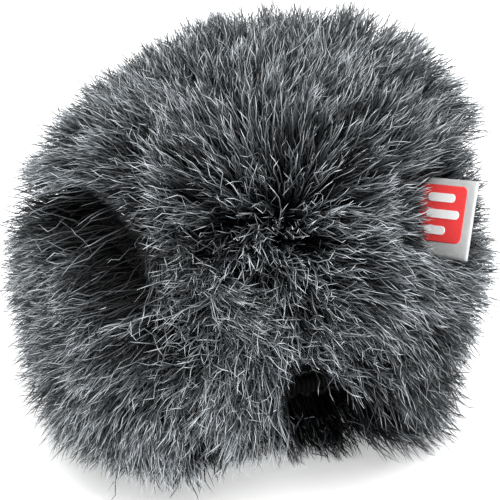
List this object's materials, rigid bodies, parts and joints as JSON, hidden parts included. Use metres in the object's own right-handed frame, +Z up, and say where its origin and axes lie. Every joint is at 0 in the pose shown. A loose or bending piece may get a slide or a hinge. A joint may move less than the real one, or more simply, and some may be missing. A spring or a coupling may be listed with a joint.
{
  "type": "furry windscreen",
  "caption": "Long-pile grey fur windscreen for a portable recorder: a rounded sewn bag with an elastic mouth low on the front and a folded ribbon label in its right seam.",
  "frame": {"origin": "on the table under the middle of the bag's outer box", "axes": "+Z up, the mouth faces -Y and 40 degrees below the horizontal, +X to the right of someone looking at the mouth"},
  "size_m": [0.0949, 0.0957, 0.085],
  "materials": {
    "fur": "long pile acrylic fur, dark roots and silver tips",
    "lining": "thin matt knit",
    "tape": "woven binding tape",
    "thread": "spun sewing thread",
    "elastic": "braided round elastic",
    "ribbon": "satin woven ribbon"
  },
  "bodies": {
    "bag": {"elastic_loop": "elastic", "end_fur_panel": "fur", "end_lining": "lining", "end_seam_tape": "tape", "end_seam_thread": "thread", "left_fur_gusset": "fur", "left_lining": "lining", "lower_fur_panel": "fur", "lower_hem_casing": "lining", "lower_hem_thread": "thread", "lower_left_seam_tape": "tape", "lower_left_seam_thread": "thread", "lower_lining": "lining", "lower_mouth_fur": "fur", "lower_right_seam_tape": "tape", "lower_right_seam_thread": "thread", "mouth_seam_tape": "tape", "mouth_seam_thread": "thread", "right_fur_gusset": "fur", "right_lining": "lining", "upper_fur_panel": "fur", "upper_left_seam_tape": "tape", "upper_left_seam_thread": "thread", "upper_lining": "lining", "upper_mouth_fur": "fur", "upper_right_seam_tape": "tape", "upper_right_seam_thread": "thread"},
    "mouth_upper_lip": {"upper_hem_casing": "lining", "upper_hem_thread": "thread"},
    "label": {"label_tab": "ribbon"}
  },
  "joints": [
    {"name": "label_flap", "type": "hinge", "parent": "bag", "child": "label", "pos_m": [0.0283, -0.01953, 0.04867], "axis": [0.1605, 0.6511, 0.7418], "range_deg": [-30, 30], "stiffness_Nm_per_rad": 0.00005},
    {"name": "mouth_stretch", "type": "slide", "parent": "bag", "child": "mouth_upper_lip", "axis": [0, -0.6428, 0.766], "range_m": [0, 0.01], "stiffness_N_per_m": 150, "deforming": ["upper_mouth_fur", "elastic_loop"]}
  ]
}
